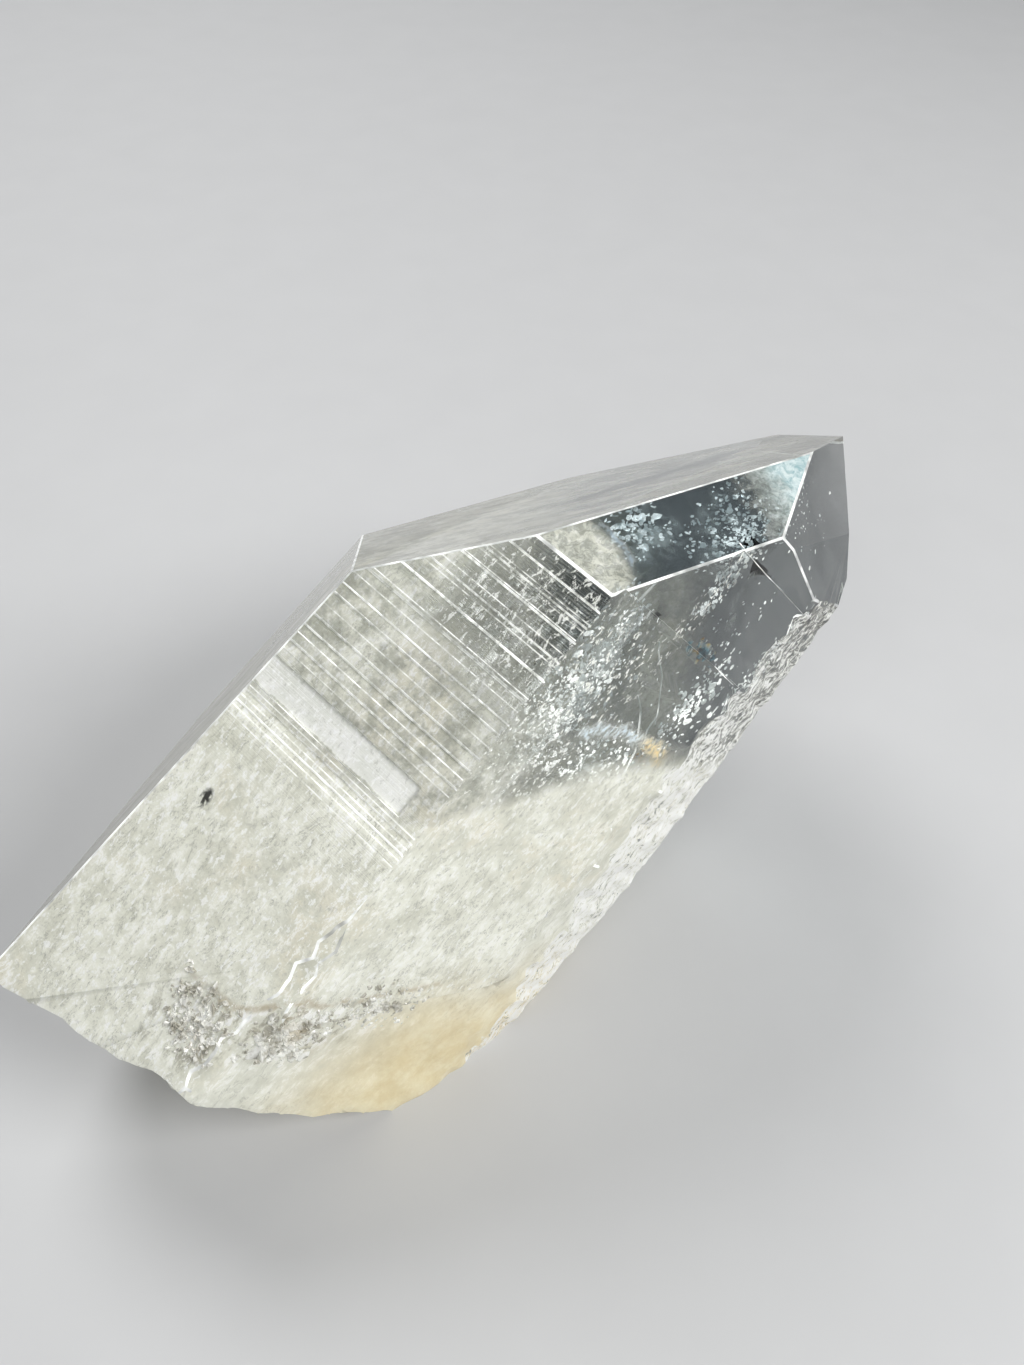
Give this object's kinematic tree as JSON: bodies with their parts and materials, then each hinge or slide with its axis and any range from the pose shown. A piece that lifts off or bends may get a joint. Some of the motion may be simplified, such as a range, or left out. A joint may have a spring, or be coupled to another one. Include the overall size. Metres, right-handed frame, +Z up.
{
  "type": "quartz point",
  "caption": "Single natural quartz crystal, milky at its broken base and clear at its six-sided pointed tip, that rests leaning on its base.",
  "frame": {"origin": "centre of the object's box, on the surface that it rests on", "axes": "+Z up from the surface; +X to the right and +Y away as the picture was taken, so the tip points to +X, +Y and up"},
  "size_m": [0.119, 0.105, 0.0785],
  "materials": {
    "quartz": "glassy crystal faces with fine growth lines, clear grey at the tip and cloudy milky white with faint honey staining at the broken base"
  },
  "bodies": {
    "root": {"quartz_point": "quartz"}
  },
  "joints": []
}
